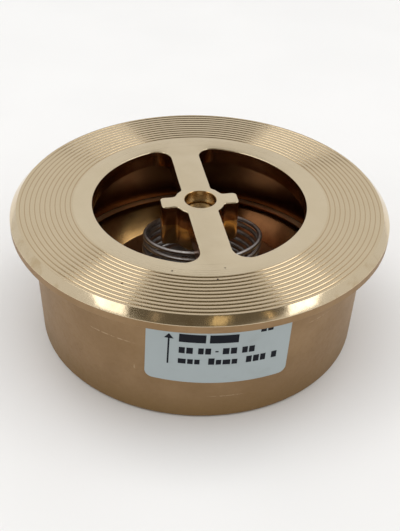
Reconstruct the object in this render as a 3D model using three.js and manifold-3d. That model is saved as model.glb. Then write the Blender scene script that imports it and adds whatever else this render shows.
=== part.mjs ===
// Wafer check valve, DN 40. A bronze housing is clamped between two pipe flanges. Inside it a steel
// disc on a guide stem is pushed onto its seat by a spring, and the flow lifts it against the spring.
//
// Millimetres and degrees. The origin is the centre of the inlet face and +Z is the direction of flow,
// so the outlet face is at Z = valve.faceToFace. The bridge bar lies along Y and the guide ribs along X.
// The valve is drawn closed.

import * as THREE from "three";
import { mergeVertices } from "three/addons/utils/BufferGeometryUtils.js";
import Module from "manifold-3d";

const wasm = await Module();
wasm.setup();

// ---------------------------------------------------------------- driving dimensions

const valve = { faceToFace: 31.5, flangeDiameter: 85, nominalBore: 40, lift: 8 };

const fit = {
  contact: 0.2, // between two pieces that rest on each other
  running: 0.15, // radial, where a piece slides or turns on another
  insert: 0.2, // radial, round the seat ring
  thread: 0.1, // radial, between a thread's plain stand-ins
  stop: 0.4, // left between the stem's collar and the hub when the valve is fully open
  spring: 0.6, // radial, between the spring and the boss that centres it
  label: 0.1, // between the label and the barrel
};

const flange = { thickness: 3.4, chamferWidth: 1.5, chamferDrop: 1.6, overhang: 4.5, rimLand: 0.2 };
const barrel = { draft: 1, wall: 3.8, footRadius: 1, neckRadius: 0.8 };
const chamber = { roofThickness: 3.8, roofRadius: 3, stopShoulder: 0.5 };
const groove = { pitch: 1.11, depth: 0.25, innerLand: 4.3, inletLand: 1.5 };
const win = { radius: 24.1, cornerRadius: 3.5 };
const bridge = { barWidth: 6.8, barDepth: 4.7, boreRadius: 3.6, hubWall: 2.15, ribWidth: 4.2, ribReach: 3 };
const bridgeEdge = { ribCorner: 1, hubFillet: 0.9 };

const seat = { lipHeight: 11.9, lipWall: 2.5, funnelGap: 1.4, landHeight: 6.8, landWidth: 2, landStep: 0.6 };
const inlet = { boreChamfer: 0.8, spannerRadius: 2, spannerDepth: 3, spannerEdge: 3 };

const disc = { overlap: 1, thickness: 2.4, edge: 0.5, bossHeight: 1.5 };
const stem = { sink: 2.9, endChamfer: 0.6, collarShoulder: 1.8, collarHeight: 2 };
const spigot = { radius: 3, pastNut: 0.8 };
const washer = { radius: 5.5, thickness: 0.8 };
const nut = { acrossFlats: 10, height: 3.2 };

const spring = { outerDiameter: 27.6, wire: 1, turns: 6.25, tilt: 3.2, endClosing: 0.3, tipBearing: -90 };
const label = { bearing: -93.7, tilt: -1.8, topGap: 1.2, width: 29.6, height: 16.4, corner: 1.6 };
const film = { thickness: 0.15 };

const turned = { body: 60, ring: 48, small: 32 }; // facets round a turned surface

// ---------------------------------------------------------------- places worked out from them

const outletZ = valve.faceToFace;
const flangeRadius = valve.flangeDiameter / 2;
const flangeUnderZ = outletZ - flange.thickness;
const barrelTopRadius = flangeRadius - flange.overhang;
const barrelFootRadius = barrelTopRadius - barrel.draft;
const chamberRadius = barrelFootRadius - barrel.wall;
const roofZ = outletZ - chamber.roofThickness;

const pocketRadius = chamberRadius + chamber.stopShoulder;
const pocketDepth = seat.lipHeight + fit.contact;
const seatRingRadius = pocketRadius - fit.insert;
const lipRadius = seatRingRadius - seat.lipWall;
const seatBoreRadius = valve.nominalBore / 2;
const seatLandRadius = seatBoreRadius + seat.landWidth;

const discRadius = seatLandRadius + disc.overlap;
const discBottomZ = seat.landHeight + fit.contact;
const discTopZ = discBottomZ + disc.thickness;
const bossTopZ = discTopZ + disc.bossHeight;

const stemRadius = bridge.boreRadius - fit.running;
const collarRadius = stemRadius + stem.collarShoulder;
const collarBottomZ = bossTopZ + fit.contact;
const collarTopZ = collarBottomZ + stem.collarHeight;
const hubBottomZ = collarTopZ + valve.lift + fit.stop;
const stemTopZ = outletZ - stem.sink;

const washerTopZ = discBottomZ - fit.contact;
const washerBottomZ = washerTopZ - washer.thickness;
const nutTopZ = washerBottomZ - fit.contact;
const nutBottomZ = nutTopZ - nut.height;
const spigotEndZ = nutBottomZ - spigot.pastNut;
const threadHoleRadius = spigot.radius + fit.thread;

const hubRadius = bridge.boreRadius + bridge.hubWall;
const ribTip = hubRadius + bridge.ribReach;
const barUnderZ = outletZ - bridge.barDepth;

const springRadius = (spring.outerDiameter - spring.wire) / 2;
const springBottomZ = discTopZ + fit.contact + spring.wire / 2;
const springTopZ = barUnderZ - fit.contact - spring.wire / 2;
const bossRadius = springRadius - spring.wire / 2 - fit.spring;

// ---------------------------------------------------------------- shaping helpers

const radians = THREE.MathUtils.degToRad;

/** A point at a distance and a bearing from a centre. */
function polar(radius, degrees, centreX = 0, centreY = 0) {
  const angle = radians(degrees);
  return [centreX + radius * Math.cos(angle), centreY + radius * Math.sin(angle)];
}

/** Points of an arc from one bearing to another, both ends included. */
function arc(radius, from, to, steps, centreX = 0, centreY = 0) {
  const points = [];
  for (let i = 0; i <= steps; i++) {
    points.push(polar(radius, from + ((to - from) * i) / steps, centreX, centreY));
  }
  return points;
}

/** A turned solid: the closed profile's points are [radius, z], and it turns about Z. */
function turnedSolid(profile, segments) {
  const points = profile.map(([radius, z]) => new THREE.Vector2(radius, z));
  points.push(points[0].clone());
  return new THREE.LatheGeometry(points, segments).rotateX(Math.PI / 2);
}

/** A flat outline, with its holes, raised from one height to another. */
function raisedSolid(outline, bottomZ, topZ, holes = []) {
  const toVectors = (points) => points.map(([x, y]) => new THREE.Vector2(x, y));
  const shape = new THREE.Shape(toVectors(outline));
  shape.holes = holes.map((hole) => new THREE.Path(toVectors(hole)));
  const geometry = new THREE.ExtrudeGeometry(shape, { depth: topZ - bottomZ, bevelEnabled: false });
  return geometry.translate(0, 0, bottomZ);
}

/** Replaces each corner [x, y, radius] of an outline by an arc, as wide as its two sides allow. */
function roundedOutline(corners, steps = 4) {
  const points = [];
  corners.forEach(([x, y, radius = 0], i) => {
    const here = new THREE.Vector2(x, y);
    const before = new THREE.Vector2(...corners.at(i - 1)).sub(here);
    const after = new THREE.Vector2(...corners[(i + 1) % corners.length]).sub(here);
    if (radius === 0) {
      points.push([x, y]);
      return;
    }
    const halfAngle = before.angleTo(after) / 2;
    const room = 0.45 * Math.min(before.length(), after.length());
    const setback = Math.min(radius / Math.tan(halfAngle), room);
    const start = before.clone().setLength(setback).add(here);
    const end = after.clone().setLength(setback).add(here);
    for (let k = 0; k <= steps; k++) {
      const t = k / steps;
      const nearStart = start.clone().multiplyScalar((1 - t) ** 2);
      const middle = here.clone().multiplyScalar(2 * t * (1 - t));
      const point = end.clone().multiplyScalar(t ** 2).add(nearStart).add(middle);
      points.push([point.x, point.y]);
    }
  });
  return points;
}

/** A geometry as a solid that can be cut and joined. */
function solidOf(geometry) {
  const bare = new THREE.BufferGeometry();
  bare.setAttribute("position", geometry.getAttribute("position"));
  bare.setIndex(geometry.index);
  const merged = mergeVertices(bare, 1e-4);
  const indices = merged.index.array;
  const faces = [];
  for (let i = 0; i < indices.length; i += 3) {
    const [a, b, c] = indices.slice(i, i + 3);
    if (a !== b && b !== c && c !== a) {
      faces.push(a, b, c);
    }
  }
  const mesh = new wasm.Mesh({
    numProp: 3,
    vertProperties: merged.attributes.position.array,
    triVerts: new Uint32Array(faces),
  });
  mesh.merge();
  return new wasm.Manifold(mesh);
}

/** A cut or joined solid as a geometry with flat faces. */
function geometryOf(solid) {
  const mesh = solid.getMesh();
  const geometry = new THREE.BufferGeometry();
  geometry.setAttribute("position", new THREE.BufferAttribute(new Float32Array(mesh.vertProperties), 3));
  geometry.setIndex(new THREE.BufferAttribute(new Uint32Array(mesh.triVerts), 1));
  const faceted = geometry.toNonIndexed();
  faceted.computeVertexNormals();
  return faceted;
}

/** Concentric V grooves across a flat face, as profile points from the first radius inwards or outwards. */
function grooveProfile(startRadius, count, step, faceZ, rootZ) {
  const points = [[startRadius, faceZ]];
  for (let i = 0; i < count; i++) {
    points.push([startRadius + step * (i + 0.5), rootZ]);
    points.push([startRadius + step * (i + 1), faceZ]);
  }
  return points;
}

// ---------------------------------------------------------------- housing

/** The hub and its two ribs, seen along the axis, for one side of the bridge bar (side is 1 or -1). */
function hubSide(side) {
  const barHalf = bridge.barWidth / 2;
  const ribHalf = bridge.ribWidth / 2;
  const barMeetsHub = THREE.MathUtils.radToDeg(Math.acos(barHalf / hubRadius));
  const ribMeetsHub = THREE.MathUtils.radToDeg(Math.asin(ribHalf / hubRadius));
  const upper = arc(hubRadius, barMeetsHub, ribMeetsHub, 4);
  upper[0].push(bridgeEdge.hubFillet);
  upper.at(-1).push(bridgeEdge.hubFillet);
  upper.push([ribTip, ribHalf, bridgeEdge.ribCorner]);
  const lower = upper.map(([x, y, ...radius]) => [x, -y, ...radius]).reverse();
  return [...upper, ...lower].map(([x, y, ...radius]) => [side * x, y, ...radius]);
}

/** One of the two windows beside the bridge bar, with the hub and rib standing into it. */
function windowOutline(side) {
  const barHalf = bridge.barWidth / 2;
  const cornerX = barHalf + win.cornerRadius;
  const cornerY = Math.sqrt((win.radius - win.cornerRadius) ** 2 - cornerX ** 2);
  const cornerBearing = THREE.MathUtils.radToDeg(Math.atan2(cornerY, cornerX));
  const rim = arc(win.radius, -cornerBearing, cornerBearing, 24);
  const upperCorner = arc(win.cornerRadius, cornerBearing, 180, 5, cornerX, cornerY).slice(1);
  const lowerCorner = upperCorner.map(([x, y]) => [x, -y]).reverse();
  const outer = [...rim, ...upperCorner].map(([x, y]) => [side * x, y]);
  const closing = lowerCorner.map(([x, y]) => [side * x, y]);
  return roundedOutline([...outer, ...hubSide(side), ...closing]);
}

/** The hub and ribs below the bar: one column with the outline that the windows leave. */
function hubColumn() {
  const barHalf = bridge.barWidth / 2;
  const meets = THREE.MathUtils.radToDeg(Math.acos(barHalf / hubRadius));
  const right = hubSide(1).map(([x, y, ...radius], i, all) => {
    const isEnd = i === 0 || i === all.length - 1;
    return isEnd ? [x, y] : [x, y, ...radius];
  });
  const left = right.map(([x, y, ...radius]) => [-x, -y, ...radius]);
  const near = arc(hubRadius, -meets, meets - 180, 6).slice(1, -1);
  const far = arc(hubRadius, 180 - meets, meets, 6).slice(1, -1);
  return roundedOutline([...right, ...near, ...left, ...far]);
}

/** The profile of the housing before its windows and bore are cut. */
function housingProfile() {
  const grooveStart = flangeRadius - flange.chamferWidth - flange.rimLand;
  const room = grooveStart - win.radius - groove.innerLand;
  const count = Math.max(0, Math.floor(room / groove.pitch));
  const footCentre = barrelFootRadius - barrel.footRadius;
  const neckCentre = barrelTopRadius + barrel.neckRadius;
  const roofCentre = chamberRadius - chamber.roofRadius;
  return [
    [pocketRadius, 0],
    ...arc(barrel.footRadius, -90, 0, 3, footCentre, barrel.footRadius),
    ...arc(barrel.neckRadius, 180, 90, 3, neckCentre, flangeUnderZ - barrel.neckRadius),
    [flangeRadius, flangeUnderZ],
    [flangeRadius, outletZ - flange.chamferDrop],
    [flangeRadius - flange.chamferWidth, outletZ],
    ...grooveProfile(grooveStart, count, -groove.pitch, outletZ, outletZ - groove.depth),
    [0, outletZ],
    [0, roofZ],
    ...arc(chamber.roofRadius, 90, 0, 4, roofCentre, roofZ - chamber.roofRadius),
    [chamberRadius, pocketDepth],
    [pocketRadius, pocketDepth],
  ];
}

/** Housing: flange, bridge, hub, ribs and barrel in one casting. */
function valveBody() {
  const past = 1;
  const join = chamber.roofThickness / 4;
  const barHalf = bridge.barWidth / 2;
  const barEnd = win.radius + bridge.barDepth - chamber.roofThickness;
  const barOutline = [
    [-barHalf, -barEnd],
    [barHalf, -barEnd],
    [barHalf, barEnd],
    [-barHalf, barEnd],
  ];
  let solid = solidOf(turnedSolid(housingProfile(), turned.body));
  for (const side of [1, -1]) {
    solid = solid.subtract(solidOf(raisedSolid(windowOutline(side), roofZ - past, outletZ + past)));
  }
  solid = solid.add(solidOf(raisedSolid(barOutline, barUnderZ, roofZ + join)));
  solid = solid.add(solidOf(raisedSolid(hubColumn(), hubBottomZ, roofZ + join)));
  const guideBore = arc(bridge.boreRadius, 0, 360, turned.small).slice(1);
  return geometryOf(solid.subtract(solidOf(raisedSolid(guideBore, hubBottomZ - past, outletZ + past))));
}

/** Seat ring: let into the barrel from the inlet side up to the shoulder, with the funnel and seat land. */
function seatRing() {
  const landEdge = seatLandRadius + seat.landStep;
  const funnelFootZ = seat.landHeight - seat.landStep;
  const firstGroove = seatBoreRadius + inlet.boreChamfer + groove.inletLand;
  const lastGroove = seatRingRadius - groove.inletLand;
  const count = Math.max(0, Math.floor((lastGroove - firstGroove) / groove.pitch));
  const ring = turnedSolid(
    [
      [seatBoreRadius, inlet.boreChamfer],
      [seatBoreRadius + inlet.boreChamfer, 0],
      ...grooveProfile(firstGroove, count, groove.pitch, 0, groove.depth),
      [seatRingRadius, 0],
      [seatRingRadius, seat.lipHeight],
      [lipRadius, seat.lipHeight],
      [discRadius + seat.funnelGap, funnelFootZ],
      [landEdge, funnelFootZ],
      [seatLandRadius, seat.landHeight],
      [seatBoreRadius, seat.landHeight],
    ],
    turned.ring,
  );
  let solid = solidOf(ring);
  const spannerCircle = (seatBoreRadius + seatRingRadius) / 2;
  for (const bearing of [0, 180]) {
    const [x, y] = polar(spannerCircle, bearing);
    const hole = arc(inlet.spannerRadius, 0, 360, 16, x, y).slice(1);
    solid = solid.subtract(solidOf(raisedSolid(hole, -1, inlet.spannerDepth)));
  }
  return geometryOf(solid);
}

// ---------------------------------------------------------------- moving pieces

/** Closing disc, with the boss that centres the spring and a hole for the stem's spigot. */
function valveDisc() {
  const holeRadius = spigot.radius + fit.running;
  return turnedSolid(
    [
      [holeRadius, discBottomZ],
      [discRadius - disc.edge, discBottomZ],
      [discRadius, discBottomZ + disc.edge],
      [discRadius, discTopZ - disc.edge],
      [discRadius - disc.edge, discTopZ],
      [bossRadius, discTopZ],
      [bossRadius, bossTopZ - disc.edge],
      [bossRadius - disc.edge, bossTopZ],
      [holeRadius, bossTopZ],
    ],
    turned.ring,
  );
}

/** Guide stem: the shaft runs in the hub, the collar is the lift stop, and the spigot holds the disc. */
function guideStem() {
  return turnedSolid(
    [
      [0, spigotEndZ],
      [spigot.radius - stem.endChamfer, spigotEndZ],
      [spigot.radius, spigotEndZ + stem.endChamfer],
      [spigot.radius, collarBottomZ],
      [collarRadius, collarBottomZ],
      [collarRadius, collarTopZ],
      [stemRadius, collarTopZ],
      [stemRadius, stemTopZ - stem.endChamfer],
      [stemRadius - stem.endChamfer, stemTopZ],
      [0, stemTopZ],
    ],
    turned.small,
  );
}

/** Plain washer under the disc. */
function stemWasher() {
  return turnedSolid(
    [
      [threadHoleRadius, washerBottomZ],
      [washer.radius, washerBottomZ],
      [washer.radius, washerTopZ],
      [threadHoleRadius, washerTopZ],
    ],
    turned.small,
  );
}

/** Thin hexagon nut on the spigot. */
function stemNut() {
  const acrossCorners = nut.acrossFlats / Math.cos(Math.PI / 6);
  const hexagon = arc(acrossCorners / 2, 0, 300, 5);
  const hole = arc(threadHoleRadius, 0, 360, turned.small).slice(1);
  return raisedSolid(hexagon, nutBottomZ, nutTopZ, [hole]);
}

/** The spring's centreline: right-hand turns that close up at both ends and lean at the top. */
class SpringLine extends THREE.Curve {
  getPoint(share, target = new THREE.Vector3()) {
    const degrees = spring.tipBearing - 360 * spring.turns * (1 - share);
    const closing = (spring.endClosing / (2 * Math.PI)) * Math.sin(2 * Math.PI * share);
    const lean = spring.tilt * THREE.MathUtils.smoothstep(share, 0, 1);
    const rise = (springTopZ - springBottomZ - spring.tilt) * (share - closing);
    const [x, y] = polar(springRadius, degrees);
    const towardsTip = Math.cos(radians(degrees - spring.tipBearing));
    return target.set(x, y, springBottomZ + rise + lean * towardsTip);
  }
}

/** Closing spring between the disc and the bridge bar. */
function closingSpring() {
  const section = new THREE.Shape(arc(spring.wire / 2, 0, 315, 7).map(([x, y]) => new THREE.Vector2(x, y)));
  const steps = Math.round(spring.turns * 24);
  return new THREE.ExtrudeGeometry(section, { steps, extrudePath: new SpringLine(), bevelEnabled: false });
}

// ---------------------------------------------------------------- label

/** Rating label: a thin sheet bent round the barrel, just below the flange. */
function ratingLabel() {
  const topZ = flangeUnderZ - label.topGap;
  const bottomZ = topZ - label.height;
  const radiusAt = (z) => barrelFootRadius + (barrel.draft * z) / flangeUnderZ + fit.label;
  const shell = turnedSolid(
    [
      [radiusAt(0), 0],
      [radiusAt(0) + film.thickness, 0],
      [radiusAt(outletZ) + film.thickness, outletZ],
      [radiusAt(outletZ), outletZ],
    ],
    turned.body * 2,
  );
  const half = label.width / 2;
  const outline = roundedOutline([
    [-half, bottomZ, label.corner],
    [half, bottomZ, label.corner],
    [half, topZ, label.corner],
    [-half, topZ, label.corner],
  ]);
  const middleZ = (topZ + bottomZ) / 2;
  const prism = raisedSolid(outline, 0, flangeRadius);
  prism.translate(0, -middleZ, 0).rotateZ(radians(label.tilt)).translate(0, middleZ, 0);
  prism.rotateX(Math.PI / 2).rotateZ(radians(label.bearing + 90));
  return geometryOf(solidOf(shell).intersect(solidOf(prism)));
}

// ---------------------------------------------------------------- assembly

const finishes = {
  bronze: { color: 0xc2ab86, roughness: 0.45, metalness: 1 },
  machinedBronze: { color: 0xb58a4c, roughness: 0.35, metalness: 1 },
  stainless: { color: 0xa9a7a2, roughness: 0.35, metalness: 1 },
  springSteel: { color: 0x8d8a86, roughness: 0.3, metalness: 1 },
  paper: { color: 0x9aa4a5, roughness: 0.6, metalness: 0 },
};

/** A named mesh with one of the finishes. */
function piece(name, geometry, finish) {
  const mesh = new THREE.Mesh(geometry, new THREE.MeshStandardMaterial(finishes[finish]));
  mesh.name = name;
  return mesh;
}

const housing = new THREE.Group();
housing.add(piece("valve_body", valveBody(), "bronze"));
housing.add(piece("seat_ring", seatRing(), "machinedBronze"));
housing.add(piece("closing_spring", closingSpring(), "springSteel"));
housing.add(piece("rating_label", ratingLabel(), "paper"));

const closure = new THREE.Group();
closure.add(piece("valve_disc", valveDisc(), "stainless"));
closure.add(piece("guide_stem", guideStem(), "stainless"));
closure.add(piece("stem_washer", stemWasher(), "stainless"));
closure.add(piece("stem_nut", stemNut(), "stainless"));

const group = new THREE.Group();
group.add(housing, closure);

export default group;
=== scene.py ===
"""Looks of a DN 40 wafer check valve: housing casting, seat ring, disc, stem, spring and label.

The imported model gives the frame, the bodies and the joints. The classes below keep their sizes in
millimetres in the model's own frame: the origin is the centre of the inlet face, +Z is the direction
of flow, the bridge bar lies along Y and the guide ribs along X.
"""

import logging
import math
from dataclasses import dataclass, field
from enum import Enum
from random import Random
from typing import Callable, Iterable, Optional, Sequence

import bmesh
import bpy
from mathutils import Matrix, Vector
from mathutils.geometry import delaunay_2d_cdt


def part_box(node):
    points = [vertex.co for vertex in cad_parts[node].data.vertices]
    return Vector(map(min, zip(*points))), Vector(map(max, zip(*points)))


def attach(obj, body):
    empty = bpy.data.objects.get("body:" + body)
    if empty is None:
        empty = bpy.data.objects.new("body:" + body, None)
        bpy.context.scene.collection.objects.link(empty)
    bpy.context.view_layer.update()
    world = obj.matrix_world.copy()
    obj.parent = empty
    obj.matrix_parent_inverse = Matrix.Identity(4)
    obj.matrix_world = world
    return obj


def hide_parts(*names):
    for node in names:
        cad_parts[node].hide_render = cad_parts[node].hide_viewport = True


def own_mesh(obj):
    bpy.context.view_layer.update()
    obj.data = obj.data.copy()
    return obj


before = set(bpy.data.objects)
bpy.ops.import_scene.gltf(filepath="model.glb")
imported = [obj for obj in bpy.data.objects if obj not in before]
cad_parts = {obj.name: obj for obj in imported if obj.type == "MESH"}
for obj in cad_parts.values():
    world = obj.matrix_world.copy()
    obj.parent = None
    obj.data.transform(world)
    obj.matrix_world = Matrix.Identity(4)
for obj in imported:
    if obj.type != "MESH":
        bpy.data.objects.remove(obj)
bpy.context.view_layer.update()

MM = 0.001
LOG = logging.getLogger("check_valve")

Point2 = tuple[float, float]
Point3 = tuple[float, float, float]
Loop = list[int]


# ------------------------------------------------------------------ outlines


def polar(radius: float, degrees: float, centre: Point2 = (0.0, 0.0)) -> Point2:
    """Gives the point at a distance and a bearing from a centre."""
    angle = math.radians(degrees)
    return centre[0] + radius * math.cos(angle), centre[1] + radius * math.sin(angle)


def arc(radius: float, start: float, end: float, steps: int, centre: Point2 = (0.0, 0.0)) -> list[Point2]:
    """Samples an arc.

    Args:
        radius: Radius of the arc.
        start: Bearing of its first point, in degrees.
        end: Bearing of its last point, in degrees.
        steps: Number of stretches between the two.
        centre: Centre of the arc.

    Returns:
        The points, both ends included.
    """
    return [polar(radius, start + (end - start) * i / steps, centre) for i in range(steps + 1)]


def circle(radius: float, steps: int, centre: Point2 = (0.0, 0.0)) -> list[Point2]:
    """Samples a whole circle, without repeating its first point."""
    return arc(radius, 0.0, 360.0, steps, centre)[:-1]


def fillet(before: Point2, corner: Point2, after: Point2, radius: float, steps: int = 8) -> list[Point2]:
    """Rounds one corner of an outline.

    Args:
        before: The point before the corner.
        corner: The corner itself.
        after: The point after the corner.
        radius: Radius to round it to, as far as the two sides allow.
        steps: Number of stretches of the rounding.

    Returns:
        The points that stand for the corner.
    """
    here = Vector(corner)
    to_before = Vector(before) - here
    to_after = Vector(after) - here
    half_angle = to_before.angle(to_after) / 2
    room = 0.45 * min(to_before.length, to_after.length)
    setback = min(radius / math.tan(half_angle), room)
    start = here + to_before.normalized() * setback
    end = here + to_after.normalized() * setback
    points = []
    for i in range(steps + 1):
        t = i / steps
        point = start * (1 - t) ** 2 + here * (2 * t * (1 - t)) + end * t**2
        points.append((point.x, point.y))
    return points


def widened(outline: Sequence[Point2], amounts: Sequence[float]) -> list[Point2]:
    """Moves each point of a closed outline outwards by its own amount.

    Args:
        outline: The points, anticlockwise.
        amounts: How far each point moves, outwards where it is positive.

    Returns:
        The moved points.
    """
    moved = []
    for i, (x, y) in enumerate(outline):
        previous = Vector(outline[i - 1])
        following = Vector(outline[(i + 1) % len(outline)])
        along = (following - previous).normalized()
        moved.append((x + along.y * amounts[i], y - along.x * amounts[i]))
    return moved


def moved(outline: Sequence[Point2], shift: Point2) -> list[Point2]:
    """Moves a whole outline by one shift."""
    return [(x + shift[0], y + shift[1]) for x, y in outline]


def inside(point: Point2, outline: Sequence[Point2]) -> bool:
    """Tells whether a point lies inside a closed outline."""
    x, y = point
    found = False
    for i, (x1, y1) in enumerate(outline):
        x2, y2 = outline[i - 1]
        if (y1 > y) != (y2 > y) and x < (x2 - x1) * (y - y1) / (y2 - y1) + x1:
            found = not found
    return found


# ------------------------------------------------------------------ surfaces


class Surface:
    """Points and faces of one piece, gathered in millimetres and turned into an object at the end."""

    def __init__(self) -> None:
        """Starts an empty surface."""
        self.points: list[Point3] = []
        self.faces: list[tuple[int, ...]] = []
        self.finishes: list[int] = []

    def loop(self, outline: Iterable[Point2], z: float) -> Loop:
        """Adds an outline at one height and returns its point numbers."""
        return self.row([(x, y, z) for x, y in outline])

    def row(self, points: Iterable[Point3]) -> Loop:
        """Adds points and returns their numbers."""
        first = len(self.points)
        self.points.extend(points)
        return list(range(first, len(self.points)))

    def skin(self, rows: Sequence[Loop], finish: int = 0, closed: bool = True) -> None:
        """Joins neighbouring rows of equal length with four-sided faces.

        Args:
            rows: The rows, in order.
            finish: Number of the finish that the faces take.
            closed: Whether each row's last point joins its first.
        """
        for lower, upper in zip(rows, rows[1:]):
            count = len(lower)
            for i in range(count if closed else count - 1):
                k = (i + 1) % count
                self.faces.append((lower[i], lower[k], upper[k], upper[i]))
                self.finishes.append(finish)

    def cap(self, row: Loop, finish: int = 0) -> None:
        """Closes a row with one flat face."""
        self.faces.append(tuple(row))
        self.finishes.append(finish)

    def fill(self, outer: Loop, holes: Sequence[Loop], finish: int = 0) -> None:
        """Fills a level region between an outer loop and its holes with triangles.

        Args:
            outer: Point numbers of the outer loop.
            holes: Point numbers of each hole's loop.
            finish: Number of the finish that the faces take.
        """
        used = [*outer, *(number for hole in holes for number in hole)]
        flat = [Vector(self.points[number][:2]) for number in used]
        edges = []
        first = 0
        for ring in (outer, *holes):
            count = len(ring)
            edges.extend((first + i, first + (i + 1) % count) for i in range(count))
            first += count
        result = delaunay_2d_cdt(flat, edges, [], 0, 1e-7)
        places, triangles, sources = result[0], result[2], result[3]
        outline = [self.points[number][:2] for number in outer]
        gaps = [[self.points[number][:2] for number in hole] for hole in holes]
        for triangle in triangles:
            middle = sum((places[i] for i in triangle), Vector((0.0, 0.0))) / 3
            if not inside(middle, outline) or any(inside(middle, gap) for gap in gaps):
                continue
            self.faces.append(tuple(used[sources[i][0]] for i in triangle))
            self.finishes.append(finish)

    def turn(self, profile: Sequence[Point2], segments: int, finish: int = 0) -> list[Loop]:
        """Turns a profile about Z.

        Args:
            profile: Points (radius, z). A radius of 0 isn't allowed; a flat end is capped.
            segments: Number of steps round.
            finish: Number of the finish that the faces take.

        Returns:
            One loop for each point of the profile.
        """
        loops = [self.loop(circle(radius, segments), z) for radius, z in profile]
        self.skin(loops, finish)
        return loops

    def made(
        self, name: str, finishes: Sequence[bpy.types.Material], sharp: float = 32.0
    ) -> bpy.types.Object:
        """Makes the object, with its faces pointing out and its shading smooth up to an angle.

        Args:
            name: Name of the piece.
            finishes: The materials that the faces' finish numbers stand for.
            sharp: Angle in degrees above which an edge stays sharp.

        Returns:
            The new object, linked into the scene.
        """
        mesh = bpy.data.meshes.new(name)
        mesh.from_pydata([(x * MM, y * MM, z * MM) for x, y, z in self.points], [], self.faces)
        for finish in finishes:
            mesh.materials.append(finish)
        mesh.polygons.foreach_set("material_index", self.finishes)
        mesh.polygons.foreach_set("use_smooth", [True] * len(self.faces))
        editable = bmesh.new()
        editable.from_mesh(mesh)
        bmesh.ops.remove_doubles(editable, verts=editable.verts, dist=1e-7)
        bmesh.ops.recalc_face_normals(editable, faces=editable.faces)
        editable.to_mesh(mesh)
        editable.free()
        mesh.set_sharp_from_angle(angle=math.radians(sharp))
        piece = bpy.data.objects.new(name, mesh)
        bpy.context.scene.collection.objects.link(piece)
        return piece


def rounded_profile(corners: Sequence[tuple[float, ...]], steps: int = 4) -> list[Point2]:
    """Rounds the corners of an open profile.

    Args:
        corners: Points (radius, z) or (radius, z, rounding).
        steps: Number of stretches of each rounding.

    Returns:
        The points of the profile.
    """
    points: list[Point2] = []
    for i, corner in enumerate(corners):
        rounding = corner[2] if len(corner) > 2 else 0.0
        if rounding and 0 < i < len(corners) - 1:
            points.extend(fillet(corners[i - 1][:2], corner[:2], corners[i + 1][:2], rounding, steps))
        else:
            points.append(corner[:2])
    return points


# ------------------------------------------------------------------ finishes


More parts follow.
